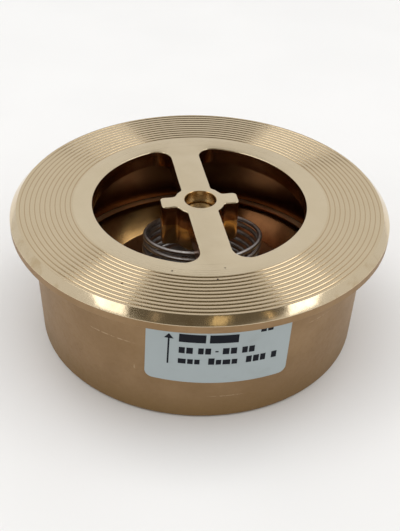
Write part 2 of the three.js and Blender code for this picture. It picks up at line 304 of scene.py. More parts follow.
class NodeSketch:
    """A material's nodes, written one by one around a Principled shader."""

    def __init__(self, name: str) -> None:
        """Starts a material that holds a shader and its output.

        Args:
            name: Name of the material.
        """
        self.material = bpy.data.materials.new(name)
        self.material.use_nodes = True
        self.tree = self.material.node_tree
        self.tree.nodes.clear()
        output = self.tree.nodes.new("ShaderNodeOutputMaterial")
        self.shader = self.tree.nodes.new("ShaderNodeBsdfPrincipled")
        self.tree.links.new(self.shader.outputs[0], output.inputs[0])
        self.place = self.tree.nodes.new("ShaderNodeTexCoord").outputs["Object"]
        parts = self.node("ShaderNodeSeparateXYZ", {}, {0: self.place})
        self.x, self.y, self.z = parts.outputs[0], parts.outputs[1], parts.outputs[2]

    def node(self, kind: str, settings: dict, inputs: dict) -> bpy.types.Node:
        """Adds a node.

        Args:
            kind: Blender's name of the node type.
            settings: Its properties.
            inputs: Its inputs by name or number, each a value or another node's output.

        Returns:
            The node.
        """
        node = self.tree.nodes.new(kind)
        for key, value in settings.items():
            setattr(node, key, value)
        for key, value in inputs.items():
            self.feed(node.inputs[key], value)
        return node

    def feed(self, socket: bpy.types.NodeSocket, value: object) -> None:
        """Links a value to an input, or sets it there if it is a constant."""
        if isinstance(value, bpy.types.NodeSocket):
            self.tree.links.new(value, socket)
        elif isinstance(value, tuple) and len(value) == 3 and socket.type == "RGBA":
            socket.default_value = (*value, 1.0)
        else:
            socket.default_value = value

    def math(self, operation: str, *values: object) -> bpy.types.NodeSocket:
        """Adds a math node and returns its output."""
        inputs = dict(enumerate(values))
        return self.node("ShaderNodeMath", {"operation": operation}, inputs).outputs[0]

    def radius(self) -> bpy.types.NodeSocket:
        """Gives the distance from the valve's axis."""
        across = self.math("MULTIPLY", self.x, self.x)
        along = self.math("MULTIPLY", self.y, self.y)
        return self.math("SQRT", self.math("ADD", across, along))

    def smooth(self, value: object, low: float, high: float) -> bpy.types.NodeSocket:
        """Gives 0 below one value and 1 above another, with a smooth step between them."""
        settings = {"interpolation_type": "SMOOTHSTEP"}
        inputs = {"Value": value, "From Min": low, "From Max": high}
        return self.node("ShaderNodeMapRange", settings, inputs).outputs[0]

    def noise(self, size: float, detail: float = 3.0, place: Optional[object] = None) -> bpy.types.NodeSocket:
        """Gives noise between 0 and 1.

        Args:
            size: Size of its features in millimetres.
            detail: Number of finer layers.
            place: Where to read it, or None for the piece's own coordinates.

        Returns:
            The noise's value.
        """
        inputs = {"Vector": place or self.place, "Scale": 1 / (size * MM), "Detail": detail, "Roughness": 0.6}
        return self.node("ShaderNodeTexNoise", {}, inputs).outputs[0]

    def stretched(self, across: float, along: float) -> bpy.types.NodeSocket:
        """Gives coordinates that are scaled by one number in X and Y and by another in Z."""
        inputs = {"Vector": self.place, "Scale": (across, across, along)}
        return self.node("ShaderNodeMapping", {}, inputs).outputs[0]

    def rings(self, ring_size: float) -> bpy.types.NodeSocket:
        """Gives noise that depends on the radius and the height only, as a lathe tool leaves it."""
        inputs = {0: self.math("MULTIPLY", self.radius(), 1.0), 1: 0.0, 2: self.z}
        place = self.node("ShaderNodeCombineXYZ", {}, inputs).outputs[0]
        return self.noise(ring_size, 2.0, place)

    def mix(self, share: object, first: object, second: object) -> bpy.types.NodeSocket:
        """Mixes two colours."""
        inputs = {0: share, 6: first, 7: second}
        return self.node("ShaderNodeMix", {"data_type": "RGBA"}, inputs).outputs[2]

    def specks(self, spacing: float, size: float, share: float) -> bpy.types.NodeSocket:
        """Gives 1 in small round specks that are scattered over the surface.

        Args:
            spacing: Distance between possible specks in millimetres.
            size: Radius of a speck in millimetres.
            share: Share of the places that hold one.

        Returns:
            The specks' mask.
        """
        cells = self.node("ShaderNodeTexVoronoi", {}, {"Vector": self.place, "Scale": 1 / (spacing * MM)})
        near = self.math("LESS_THAN", cells.outputs["Distance"], size / spacing)
        chosen = self.node("ShaderNodeSeparateColor", {}, {0: cells.outputs["Color"]}).outputs[0]
        return self.math("MULTIPLY", near, self.math("LESS_THAN", chosen, share))

    def spot(self, x: float, y: float, size: float) -> bpy.types.NodeSocket:
        """Gives 1 within a distance of an upright line and 0 outside, all in millimetres."""
        aside = self.math("SUBTRACT", self.x, x * MM)
        away = self.math("SUBTRACT", self.y, y * MM)
        squares = self.math("ADD", self.math("MULTIPLY", aside, aside), self.math("MULTIPLY", away, away))
        return self.math("SUBTRACT", 1.0, self.smooth(self.math("SQRT", squares), 0.6 * size * MM, size * MM))

    def patch(self, bearings: Point2, heights: Point2) -> bpy.types.NodeSocket:
        """Gives 1 in a patch between two bearings (degrees) and two heights (millimetres), with soft ends."""
        bearing = self.math("ARCTAN2", self.y, self.x)
        mask = None
        for value, ends, unit in ((bearing, bearings, math.pi / 180), (self.z, heights, MM)):
            low, high = (end * unit for end in ends)
            fade = (high - low) * 0.3
            rise = self.smooth(value, low, low + fade)
            fall = self.math("SUBTRACT", 1.0, self.smooth(value, high - fade, high))
            within = self.math("MULTIPLY", rise, fall)
            mask = within if mask is None else self.math("MULTIPLY", mask, within)
        return mask

    def bump(self, height: object, depth: float, before: Optional[object] = None) -> bpy.types.NodeSocket:
        """Gives a normal that is roughened by a height.

        Args:
            height: The height, between 0 and 1.
            depth: How deep a height of 1 is, in millimetres.
            before: A normal to add to, or None.

        Returns:
            The normal.
        """
        inputs = {"Strength": 1.0, "Distance": depth * MM, "Height": height}
        if before is not None:
            inputs["Normal"] = before
        return self.node("ShaderNodeBump", {}, inputs).outputs[0]

    def turned_tangent(self) -> bpy.types.NodeSocket:
        """Gives the direction round the valve's axis, along which turned metal is grained."""
        return self.node("ShaderNodeTangent", {"direction_type": "RADIAL", "axis": "Z"}, {}).outputs[0]

    def set(self, **inputs: object) -> None:
        """Sets the shader's inputs; an underscore in a name stands for a space."""
        for key, value in inputs.items():
            self.feed(self.shader.inputs[key.replace("_", " ")], value)


Colour = tuple[float, float, float]


@dataclass(frozen=True)
class TurnedFace:
    """Fine-turned bronze of the outlet face: pale, grained round the axis, with painted shade in the groove
    bottoms.
    """

    bright: Colour = (0.80, 0.67, 0.47)
    dull: Colour = (0.77, 0.64, 0.44)
    ridge: Colour = (0.64, 0.49, 0.30)
    # Colour of the painted shade in the groove bottoms.
    groove_shade: Colour = (0.46, 0.31, 0.14)
    land_radius: float = 28.4
    pits: tuple[Point3, ...] = (
        (-20.8, -28.3, 0.25),
        (-10.4, -25.7, 0.24),
        (0.4, -26.2, 0.2),
        (-1.8, -29.7, 0.28),
    )
    speck: Colour = (0.05, 0.03, 0.015)
    grain: float = 0.7

    def made(self, name: str, outlet_z: float, groove_depth: float) -> bpy.types.Material:
        """Makes the material.

        Args:
            name: Name of the material.
            outlet_z: Height of the outlet face in millimetres.
            groove_depth: Depth of the face's grooves in millimetres.

        Returns:
            The material.
        """
        sketch = NodeSketch(name)
        cloud = sketch.noise(9.0, 3.0)
        base = sketch.mix(sketch.smooth(cloud, 0.3, 0.7), self.bright, self.dull)
        top, bottom = outlet_z * MM, (outlet_z - groove_depth) * MM
        # Painted shade: the groove bottoms are darkened by depth, standing for shade that falls in them.
        depth = sketch.math("SUBTRACT", 1.0, sketch.smooth(sketch.z, bottom, top - 0.25 * groove_depth * MM))
        on_face = sketch.smooth(sketch.z, bottom - 0.04 * MM, bottom)
        dirt = sketch.math("MULTIPLY", sketch.math("MULTIPLY", depth, on_face), 0.6)
        grooved = sketch.smooth(sketch.radius(), self.land_radius * MM, (self.land_radius + 0.4) * MM)
        base = sketch.mix(sketch.math("MULTIPLY", grooved, 0.35), base, self.ridge)
        base = sketch.mix(dirt, base, self.groove_shade)
        pits = sketch.specks(4.5, 0.22, 0.05)
        for x, y, size in self.pits:
            pits = sketch.math("MAXIMUM", pits, sketch.spot(x, y, size))
        feed = sketch.smooth(sketch.rings(0.3), 0.56, 0.7)
        off_bar = sketch.smooth(sketch.radius(), 22.5 * MM, 24.5 * MM)
        feed = sketch.math("MULTIPLY", feed, off_bar)
        feed = sketch.math("MULTIPLY", feed, sketch.math("SUBTRACT", 1.0, grooved))
        normal = sketch.bump(sketch.rings(0.22), 0.003)
        normal = sketch.bump(sketch.math("MULTIPLY", feed, sketch.noise(0.7, 2.0)), 0.02, normal)
        normal = sketch.bump(sketch.math("SUBTRACT", 1.0, pits), 0.12, normal)
        rough = sketch.math("ADD", 0.16, sketch.math("MULTIPLY", sketch.noise(2.5, 4.0), 0.06))
        base = sketch.mix(pits, base, self.speck)
        sketch.set(Base_Color=base, Metallic=1.0, Roughness=rough, Normal=normal)
        sketch.set(Anisotropic=self.grain, Anisotropic_Rotation=0.25, Tangent=sketch.turned_tangent())
        return sketch.material


@dataclass(frozen=True)
class TurnedEdge:
    """Bright bronze of the flange's chamfer, cut last: nearly a mirror, with chatter marks round it."""

    bright: Colour = (0.73, 0.60, 0.41)
    brown: Colour = (0.62, 0.48, 0.29)

    def made(self, name: str) -> bpy.types.Material:
        """Makes the material and returns it."""
        sketch = NodeSketch(name)
        chatter = sketch.noise(1.6, 3.0, sketch.stretched(1.0, 0.12))
        base = sketch.mix(sketch.smooth(sketch.noise(5.0, 4.0), 0.5, 0.75), self.bright, self.brown)
        normal = sketch.bump(chatter, 0.012)
        rough = sketch.math("ADD", 0.08, sketch.math("MULTIPLY", chatter, 0.1))
        sketch.set(Base_Color=base, Metallic=1.0, Roughness=rough, Normal=normal)
        return sketch.material


@dataclass(frozen=True)
class CastSkin:
    """Blasted casting skin of the barrel: matt, brown and slightly blotched, with painted shade towards the
    foot.
    """

    light: Colour = (0.345, 0.225, 0.118)
    dark: Colour = (0.295, 0.187, 0.093)
    foot: Colour = (0.285, 0.178, 0.072)
    speck: Colour = (0.06, 0.035, 0.02)
    scraped: Colour = (0.62, 0.48, 0.32)
    scrapes: tuple[tuple[Point2, Point2], ...] = (
        ((-140.0, -118.5), (18.95, 19.4)),
        ((-98.0, -84.0), (6.15, 6.5)),
        ((-121.1, -120.4), (11.6, 14.0)),
        ((-66.0, -52.0), (21.0, 21.3)),
    )
    metal: float = 0.85

    def made(self, name: str) -> bpy.types.Material:
        """Makes the material and returns it."""
        sketch = NodeSketch(name)
        blotch = sketch.smooth(sketch.noise(14.0, 4.0), 0.35, 0.65)
        fine = sketch.noise(1.1, 4.0)
        base = sketch.mix(blotch, self.light, self.dark)
        base = sketch.mix(sketch.math("MULTIPLY", sketch.smooth(fine, 0.55, 0.8), 0.35), base, self.dark)
        # Painted shade: the skin darkens over the lowest 9 mm, standing for shade near the floor.
        low = sketch.math("SUBTRACT", 1.0, sketch.smooth(sketch.z, 0.0, 9.0 * MM))
        base = sketch.mix(sketch.math("MULTIPLY", low, 0.8), base, self.foot)
        broken = sketch.smooth(sketch.noise(0.8, 2.0), 0.38, 0.6)
        for bearings, heights in self.scrapes:
            scrape = sketch.math("MULTIPLY", sketch.patch(bearings, heights), broken)
            base = sketch.mix(sketch.math("MULTIPLY", scrape, 0.4), base, self.scraped)
        pits = sketch.specks(3.2, 0.16, 0.06)
        normal = sketch.bump(sketch.noise(0.55, 3.0), 0.035)
        normal = sketch.bump(sketch.noise(3.5, 3.0), 0.12, normal)
        normal = sketch.bump(sketch.math("SUBTRACT", 1.0, pits), 0.15, normal)
        rough = sketch.math("ADD", 0.42, sketch.math("MULTIPLY", fine, 0.2))
        sketch.set(Base_Color=sketch.mix(pits, base, self.speck), Metallic=self.metal, Roughness=rough)
        sketch.set(Normal=normal)
        return sketch.material


@dataclass(frozen=True)
class InnerBronze:
    """Clean machined bronze inside the housing: smoother and more golden than the outside, with an optional
    patch of painted shade and an optional pale band of painted highlight.
    """

    gold: Colour = (0.62, 0.40, 0.165)
    brown: Colour = (0.50, 0.28, 0.11)
    grain: float = 0.3
    smoothness: float = 0.19
    # Pale colour of a painted highlight on a matt finish, above the height given on the next line.
    matt: Colour = (0.86, 0.6, 0.36)
    matt_highlight_above: float = 100.0
    # Dark colour of a patch of painted shade, laid between the bearings given on the next line.
    tarnish: Colour = (0.17, 0.075, 0.03)
    tarnished_and_shaded: Optional[Point2] = None

    def made(self, name: str) -> bpy.types.Material:
        """Makes the material and returns it."""
        sketch = NodeSketch(name)
        stain = sketch.smooth(sketch.noise(7.0, 3.0), 0.4, 0.75)
        base = sketch.mix(stain, self.gold, self.brown)
        # Painted shade: a dark patch between two bearings stands for shade on one side of the funnel.
        if self.tarnished_and_shaded:
            base = sketch.mix(sketch.patch(self.tarnished_and_shaded, (-10.0, 30.0)), base, self.tarnish)
        # Painted highlight: above the given height the colour turns pale to stand for light on the lip's
        # ledge; the raised roughness and lowered metallic there make a matt finish.
        dull = sketch.smooth(sketch.z, self.matt_highlight_above * MM, (self.matt_highlight_above + 0.12) * MM)
        base = sketch.mix(dull, base, self.matt)
        normal = sketch.bump(sketch.noise(3.4, 2.0), 0.012)
        rough = sketch.math("ADD", self.smoothness, sketch.math("MULTIPLY", sketch.noise(1.6, 3.0), 0.08))
        rough = sketch.math("ADD", rough, sketch.math("MULTIPLY", dull, 0.3))
        metal = sketch.math("SUBTRACT", 1.0, sketch.math("MULTIPLY", dull, 0.85))
        sketch.set(Base_Color=base, Metallic=metal, Roughness=rough, Normal=normal)
        sketch.set(Anisotropic=self.grain, Anisotropic_Rotation=0.25, Tangent=sketch.turned_tangent())
        return sketch.material


@dataclass(frozen=True)
class TurnedSteel:
    """Turned or drawn stainless steel with a little tarnish."""

    clean: Colour = (0.46, 0.45, 0.44)
    tarnished_and_shaded: Colour = (0.24, 0.21, 0.19)
    grain: float = 0.5
    smoothness: float = 0.26

    def made(self, name: str) -> bpy.types.Material:
        """Makes the material and returns it."""
        sketch = NodeSketch(name)
        tarnish = sketch.smooth(sketch.noise(3.0, 4.0), 0.5, 0.8)
        base = sketch.mix(tarnish, self.clean, self.tarnished_and_shaded)
        normal = sketch.bump(sketch.rings(0.18), 0.004)
        rough = sketch.math("ADD", self.smoothness, sketch.math("MULTIPLY", sketch.noise(0.8, 3.0), 0.15))
        sketch.set(Base_Color=base, Metallic=1.0, Roughness=rough, Normal=normal)
        sketch.set(Anisotropic=self.grain, Tangent=sketch.turned_tangent())
        return sketch.material


@dataclass(frozen=True)
class SpringWire:
    """Drawn steel wire: grey, satin, with faint draw marks."""

    clean: Colour = (0.40, 0.385, 0.37)
    dark: Colour = (0.20, 0.18, 0.165)

    def made(self, name: str) -> bpy.types.Material:
        """Makes the material and returns it."""
        sketch = NodeSketch(name)
        blotch = sketch.smooth(sketch.noise(1.2, 3.0), 0.45, 0.8)
        base = sketch.mix(blotch, self.clean, self.dark)
        marks = sketch.noise(0.16, 2.0, sketch.stretched(0.15, 1.0))
        rough = sketch.math("ADD", 0.28, sketch.math("MULTIPLY", marks, 0.15))
        sketch.set(Base_Color=base, Metallic=1.0, Roughness=rough, Normal=sketch.bump(marks, 0.008))
        return sketch.material


@dataclass(frozen=True)
class LabelFilm:
    """Matt adhesive film, or the print on it: a fine fibre, soft creases and a little handling dirt."""

    clean: Colour = (0.42, 0.475, 0.485)
    soiled: Colour = (0.35, 0.39, 0.39)
    sheen: float = 0.25

    def made(self, name: str) -> bpy.types.Material:
        """Makes the material and returns it."""
        sketch = NodeSketch(name)
        dirt = sketch.smooth(sketch.noise(5.0, 4.0), 0.5, 0.85)
        fibre = sketch.noise(0.25, 3.0)
        base = sketch.mix(sketch.math("MULTIPLY", dirt, 0.6), self.clean, self.soiled)
        normal = sketch.bump(fibre, 0.006)
        normal = sketch.bump(sketch.noise(4.0, 2.0), 0.03, normal)
        rough = sketch.math("ADD", 0.42, sketch.math("MULTIPLY", fibre, 0.15))
        sketch.set(Base_Color=base, Roughness=rough, Normal=normal, Specular_IOR_Level=self.sheen)
        return sketch.material


class Body(Enum):
    """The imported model's bodies that the pieces ride on."""

    HOUSING = "housing"
    STEM = "stem"
    DISC = "disc"


class Slot(Enum):
    """The record's material slots."""

    CAST_BRONZE = "cast_bronze"
    MACHINED_BRONZE = "machined_bronze"
    STAINLESS = "stainless"
    FASTENER = "fastener_steel"
    SPRING = "spring_wire"
    LABEL = "label_film"


def fitted(piece: bpy.types.Object, body: Body, slot: Slot, *nodes: str) -> bpy.types.Object:
    """Puts a finished piece on its body in place of its plain solids.

    Args:
        piece: The finished piece.
        body: The body that it moves with.
        slot: The record's material slot that its finish stands for; not used.
        *nodes: The plain solids that it stands for.

    Returns:
        The same piece.
    """
    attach(piece, body.value)
    if nodes:
        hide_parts(*nodes)
    LOG.info("%s: %d faces on %s", piece.name, len(piece.data.polygons), body.value)
    return piece


def level(node: str, top: bool) -> float:
    """Gives the height of a plain solid's top or bottom in millimetres."""
    low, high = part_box(node)
    return (high.z if top else low.z) / MM


def reach(node: str) -> float:
    """Gives how far a plain solid reaches from the axis along X, in millimetres."""
    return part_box(node)[1].x / MM


# ------------------------------------------------------------------ housing


@dataclass
class HousingCasting:
    """The housing: serrated flange, bridge bar, hub, ribs and barrel, in one casting."""

    outlet_z: float = field(default_factory=lambda: level("valve_body", True))
    flange_radius: float = field(default_factory=lambda: reach("valve_body"))
    flange_thickness: float = 3.4
    chamfer_width: float = 1.5
    chamfer_drop: float = 1.6
    flange_overhang: float = 4.5
    rim_land: float = 0.2
    barrel_draft: float = 1.0
    barrel_wall: float = 3.8
    foot_radius: float = 1.0
    neck_radius: float = 0.8
    roof_thickness: float = 3.8
    roof_radius: float = 3.0
    stop_shoulder: float = 0.5
    pocket_depth: float = 12.1
    groove_pitch: float = 1.11
    groove_width: float = 0.49
    groove_depth: float = 0.118
    groove_count: int = 11
    window_radius: float = 24.1
    window_corner: float = 3.5
    bar_width: float = 6.8
    bar_depth: float = 4.7
    bore_radius: float = 3.6
    hub_radius: float = 5.75
    hub_bottom_z: float = 21.5
    rib_width: float = 4.2
    rib_tip: float = 8.75
    rib_corner: float = 1.0
    hub_fillet: float = 0.9
    edge_break: float = 0.16
    casting_shift: Point2 = (-0.25, -0.3)
    segments: int = 360

    FACE = 0
    SKIN = 1
    INSIDE = 2
    EDGE = 3
    BRIDGE = 4

    def barrel_radius(self, z: float) -> float:
        """Gives the barrel's outer radius at a height."""
        foot = self.flange_radius - self.flange_overhang - self.barrel_draft
        return foot + self.barrel_draft * z / (self.outlet_z - self.flange_thickness)

    def groove_profile(self) -> list[Point2]:
        """Gives the face's serrated stretch, from the rim inwards: narrow grooves between flat crests."""
        start = self.flange_radius - self.chamfer_width - self.rim_land
        crest = self.groove_pitch - self.groove_width
        flank = ((0.0, 0.0), (0.06, 0.05), (0.12, 0.18), (0.38, 0.86), (0.45, 0.98))
        shape = [*flank, *((1 - share, dip) for share, dip in reversed(flank))]
        points = [(start, self.outlet_z)]
        for groove in range(self.groove_count):
            outer = start - groove * self.groove_pitch - crest / 2
            for share, dip in shape:
                radius = outer - share * self.groove_width
                points.append((radius, self.outlet_z - dip * self.groove_depth))
        points.append((start - self.groove_count * self.groove_pitch, self.outlet_z))
        return points

    def window(self) -> tuple[list[Point2], dict[str, tuple[int, int]]]:
        """Gives the outline of the window on the +X side, anticlockwise, and where its stretches lie in it.

        Returns:
            The points, and for each named stretch its first and last point numbers.
        """
        bar = self.bar_width / 2
        rib = self.rib_width / 2
        centre_x = bar + self.window_corner
        centre_y = math.sqrt((self.window_radius - self.window_corner) ** 2 - centre_x**2)
        bearing = math.degrees(math.atan2(centre_y, centre_x))
        rim = arc(self.window_radius, -bearing, bearing, 72)
        corner = arc(self.window_corner, bearing, 180.0, 14, (centre_x, centre_y))[1:]
        bar_meets = math.degrees(math.acos(bar / self.hub_radius))
        rib_meets = math.degrees(math.asin(rib / self.hub_radius))
        hub = arc(self.hub_radius, bar_meets, rib_meets, 8)
        bar_end, hub_start, hub_end = corner[-1], hub[0], hub[-1]
        bar_fillet = fillet((bar, hub_start[1] + 3), hub_start, hub[3], self.hub_fillet, 6)
        rib_fillet = fillet(hub[5], hub_end, (self.rib_tip, rib), self.hub_fillet, 6)
        rib_corner = fillet(hub_end, (self.rib_tip, rib), (self.rib_tip, -rib), self.rib_corner, 8)
        steps = 22
        straight = [
            (bar, bar_end[1] + (bar_fillet[0][1] - bar_end[1]) * i / steps) for i in range(1, steps)
        ]
        hub_arc = [point for point in hub[3:5]]
        down = [*straight, *bar_fillet, *hub_arc, *rib_fillet, *rib_corner]
        up = [(x, -y) for x, y in reversed(down)]
        low_corner = [(x, -y) for x, y in reversed(corner)]
        points = [*rim, *corner, *down, *up, *low_corner]
        first_bar = len(rim) + len(corner)
        fillet_start = first_bar + len(straight)
        tangent = fillet_start + len(bar_fillet) - 1
        last = first_bar + 2 * len(down) - 1
        spans = {
            "bridge": (first_bar - 1, last + 1),
            "column": (tangent, last - (tangent - first_bar)),
        }
        return points, spans

    def edge_amounts(self, outline: Sequence[Point2], random: Random, side: int) -> list[float]:
        """Gives how wide the broken top edge is at each point: ragged along the bar and the hub.

        Args:
            outline: The window's outline.
            random: Source of the raggedness.
            side: 1 for the +X window and -1 for the -X window.

        Returns:
            The widths in millimetres.
        """
        amounts = []
        for x, y in outline:
            on_rim = math.hypot(x, y) > self.window_radius - 1.5
            ragged = 0.0 if on_rim else random.uniform(-0.07, 0.07)
            if not on_rim and side < 0 and y < 0:
                ragged += random.choice((0.0, 0.0, 0.0, 0.22))
            amounts.append(self.edge_break + ragged)
        return amounts

    def add_outside(self, surface: Surface) -> tuple[Loop, Loop]:
        """Adds what is turned: the face's grooves, the flange, the barrel and the chamber.

        Returns:
            The loop round the flat land and the loop round the chamber's roof.
        """
        top, under = self.outlet_z, self.outlet_z - self.flange_thickness
        neck_radius = self.barrel_radius(under)
        foot_radius = self.barrel_radius(0.0)
        chamber = foot_radius - self.barrel_wall
        pocket = chamber + self.stop_shoulder
        roof = top - self.roof_thickness
        chamfer_inner = self.flange_radius - self.chamfer_width
        corner_steps = 4
        face = rounded_profile(
            [
                self.groove_profile()[0],
                (chamfer_inner, top, 0.12),
                (self.flange_radius, top - self.chamfer_drop, 0.15),
                (self.flange_radius, under),
            ],
            corner_steps,
        )
        edge_number = len(face) - 1
        grooves = list(reversed(self.groove_profile()))[:-1]
        edge_start = len(grooves) + corner_steps + 1
        turned = [*grooves, *face[:edge_number]]
        face_loops = [surface.loop(circle(radius, self.segments), z) for radius, z in turned]
        surface.skin(face_loops[: edge_start + 1], self.FACE)
        surface.skin(face_loops[edge_start:], self.EDGE)
        skin = rounded_profile(
            [
                face[edge_number - 1],
                (self.flange_radius, under, 0.25),
                (neck_radius, under, self.neck_radius),
                (foot_radius, 0.0, self.foot_radius),
                (pocket + 0.3, 0.0),
            ],
            6,
        )
        skin_loops = [surface.loop(circle(radius, self.segments), z) for radius, z in skin[1:]]
        surface.skin([face_loops[-1], *skin_loops], self.SKIN)
        inner = rounded_profile(
            [
                skin[-1],
                (pocket, 0.3, 0.1),
                (pocket, self.pocket_depth),
                (chamber, self.pocket_depth, 0.15),
                (chamber, roof, self.roof_radius),
                (self.window_radius + 2.6, roof),
            ],
            8,
        )
        inner_loops = [surface.loop(circle(radius, self.segments), z) for radius, z in inner[1:]]
        surface.skin([skin_loops[-1], *inner_loops], self.INSIDE)
        return face_loops[0], inner_loops[-1]

    def add_bridge(self, surface: Surface, land: Loop, roof_loop: Loop) -> None:
        """Adds the flat land, the windows' walls, the bar, the hub and the ribs.

        Args:
            surface: The surface to add to.
            land: The loop round the flat land.
            roof_loop: The loop round the chamber's roof.
        """
        random = Random(7)
        top, roof = self.outlet_z, self.outlet_z - self.roof_thickness
        bar_z = top - self.bar_depth
        bar = self.bar_width / 2
        bar_end = self.window_radius + 1.6
        right, spans = self.window()
        first, last = spans["bridge"]
        start, end = spans["column"]
        outlines = {1: right, -1: [(-x, -y) for x, y in right]}
        shift = self.casting_shift
        top_loops, roof_loops, bar_loops, column_rows = [], {}, {}, {}
        for side, outline in outlines.items():
            amounts = self.edge_amounts(outline, random, side)
            rows = []
            for share in (0.0, 0.35, 0.7, 1.0):
                angle = share * math.pi / 2
                spread = [amount * (1 - math.sin(angle)) for amount in amounts]
                drop = self.edge_break * (1 - math.cos(angle))
                rows.append(surface.loop(moved(widened(outline, spread), shift), top - drop))
            rows.append(surface.loop(moved(outline, shift), roof + 0.12))
            rows.append(surface.loop(moved(outline, shift), roof))
            surface.skin(rows[:4], self.FACE)
            surface.skin(rows[3:], self.INSIDE)
            top_loops.append(rows[0])
            roof_loops[side] = rows[-1]
            upper = rows[-1][first : last + 1]
            ends = moved([(side * bar, side * bar_end), (side * bar, -side * bar_end)], shift)
            head, tail = surface.loop(ends, roof)
            upper = [head, *upper, tail]
            lower = surface.row([(*surface.points[number][:2], bar_z) for number in upper])
            surface.skin([upper, lower], self.INSIDE, closed=False)
            bar_loops[side] = (upper, lower)
            column_rows[side] = lower[1 + start - first : 2 + end - first]
        meets = math.degrees(math.atan2(right[start][1], right[start][0]))
        far = surface.loop(arc(self.hub_radius, 180 - meets, meets, 12, shift)[1:-1], bar_z)
        near = surface.loop(arc(self.hub_radius, -meets, meets - 180, 12, shift)[1:-1], bar_z)
        column = [*column_rows[1], *near, *column_rows[-1], *far]
        column_bottom = self.add_column(surface, column)
        self.add_bar_underside(surface, bar_loops, far, near, start - first + 2)
        bore = self.add_bore(surface, column_bottom)
        surface.fill(land, [*top_loops, bore], self.FACE)
        ring = []
        for side in (1, -1):
            upper = bar_loops[side][0]
            whole = roof_loops[side]
            rim = [*reversed(whole[: first + 1]), *reversed(whole[last:])]
            ring.extend([upper[0], *rim, upper[-1]])
        surface.fill(roof_loop, [ring], self.INSIDE)

    def add_column(self, surface: Surface, column: Loop) -> Loop:
        """Adds the hub and ribs below the bar, with a broken lower edge.

        Args:
            surface: The surface to add to.
            column: The loop round the hub and ribs at the bar's underside.

        Returns:
            The loop round their lower end.
        """
        outline = [surface.points[number][:2] for number in column]
        signed = sum(
            outline[i - 1][0] * outline[i][1] - outline[i][0] * outline[i - 1][1] for i in range(len(outline))
        )
        edge = 0.3
        inward = -edge if signed > 0 else edge
        rows = [column]
        rows.append(surface.loop(outline, self.hub_bottom_z + edge))
        rows.append(surface.loop(widened(outline, [0.3 * inward] * len(outline)), self.hub_bottom_z + 0.08))
        rows.append(surface.loop(widened(outline, [inward] * len(outline)), self.hub_bottom_z))
        surface.skin(rows, self.BRIDGE)
        return rows[-1]

    def add_bar_underside(
        self,
        surface: Surface,
        bars: dict[int, tuple[Loop, Loop]],
        far: Loop,
        near: Loop,
        stretch: int,
    ) -> None:
        """Closes the bar: its two undersides beside the hub and its two end faces.

        Args:
            surface: The surface to add to.
            bars: For each side, the upper and lower rows along the bar and hub.
            far: The hub's arc under the bar on the +Y side.
            near: The hub's arc under the bar on the -Y side.
            stretch: Number of points of a row from the bar's end to where its fillet meets the hub.
        """
        for side, hub_arc in ((1, far), (-1, near)):
            here, there = bars[side][1], bars[-side][1]
            outline = [*here[:stretch], *reversed(hub_arc), *there[-stretch:]]
            surface.fill(outline, [], self.BRIDGE)
            upper_here, upper_there = bars[side][0], bars[-side][0]
            surface.cap([upper_here[0], here[0], there[-1], upper_there[-1]], self.BRIDGE)

    def add_bore(self, surface: Surface, column_bottom: Loop) -> Loop:
        """Adds the guide bore, with a small chamfer at each end, and the face round its lower end.

        Args:
            surface: The surface to add to.
            column_bottom: The loop round the lower end of the hub and ribs.

        Returns:
            The loop where the upper chamfer meets the face.
        """
        chamfer, steps = 0.08, 96
        profile = [
            (self.bore_radius + chamfer, self.outlet_z),
            (self.bore_radius, self.outlet_z - chamfer),
            (self.bore_radius, self.hub_bottom_z + chamfer),
            (self.bore_radius + chamfer, self.hub_bottom_z),
        ]
        loops = surface.turn(profile, steps, self.BRIDGE)
        surface.fill(column_bottom, [loops[-1]], self.BRIDGE)
        return loops[0]

    def build(self, finishes: Sequence[bpy.types.Material]) -> None:
        """Builds the casting and puts it on the housing body.

        Args:
            finishes: Finishes of the face, the cast outside, the chamber, the chamfer and the bridge.
        """
        surface = Surface()
        land, roof_loop = self.add_outside(surface)
        self.add_bridge(surface, land, roof_loop)
        piece = surface.made("housing_casting", finishes)
        fitted(piece, Body.HOUSING, Slot.CAST_BRONZE, "valve_body")


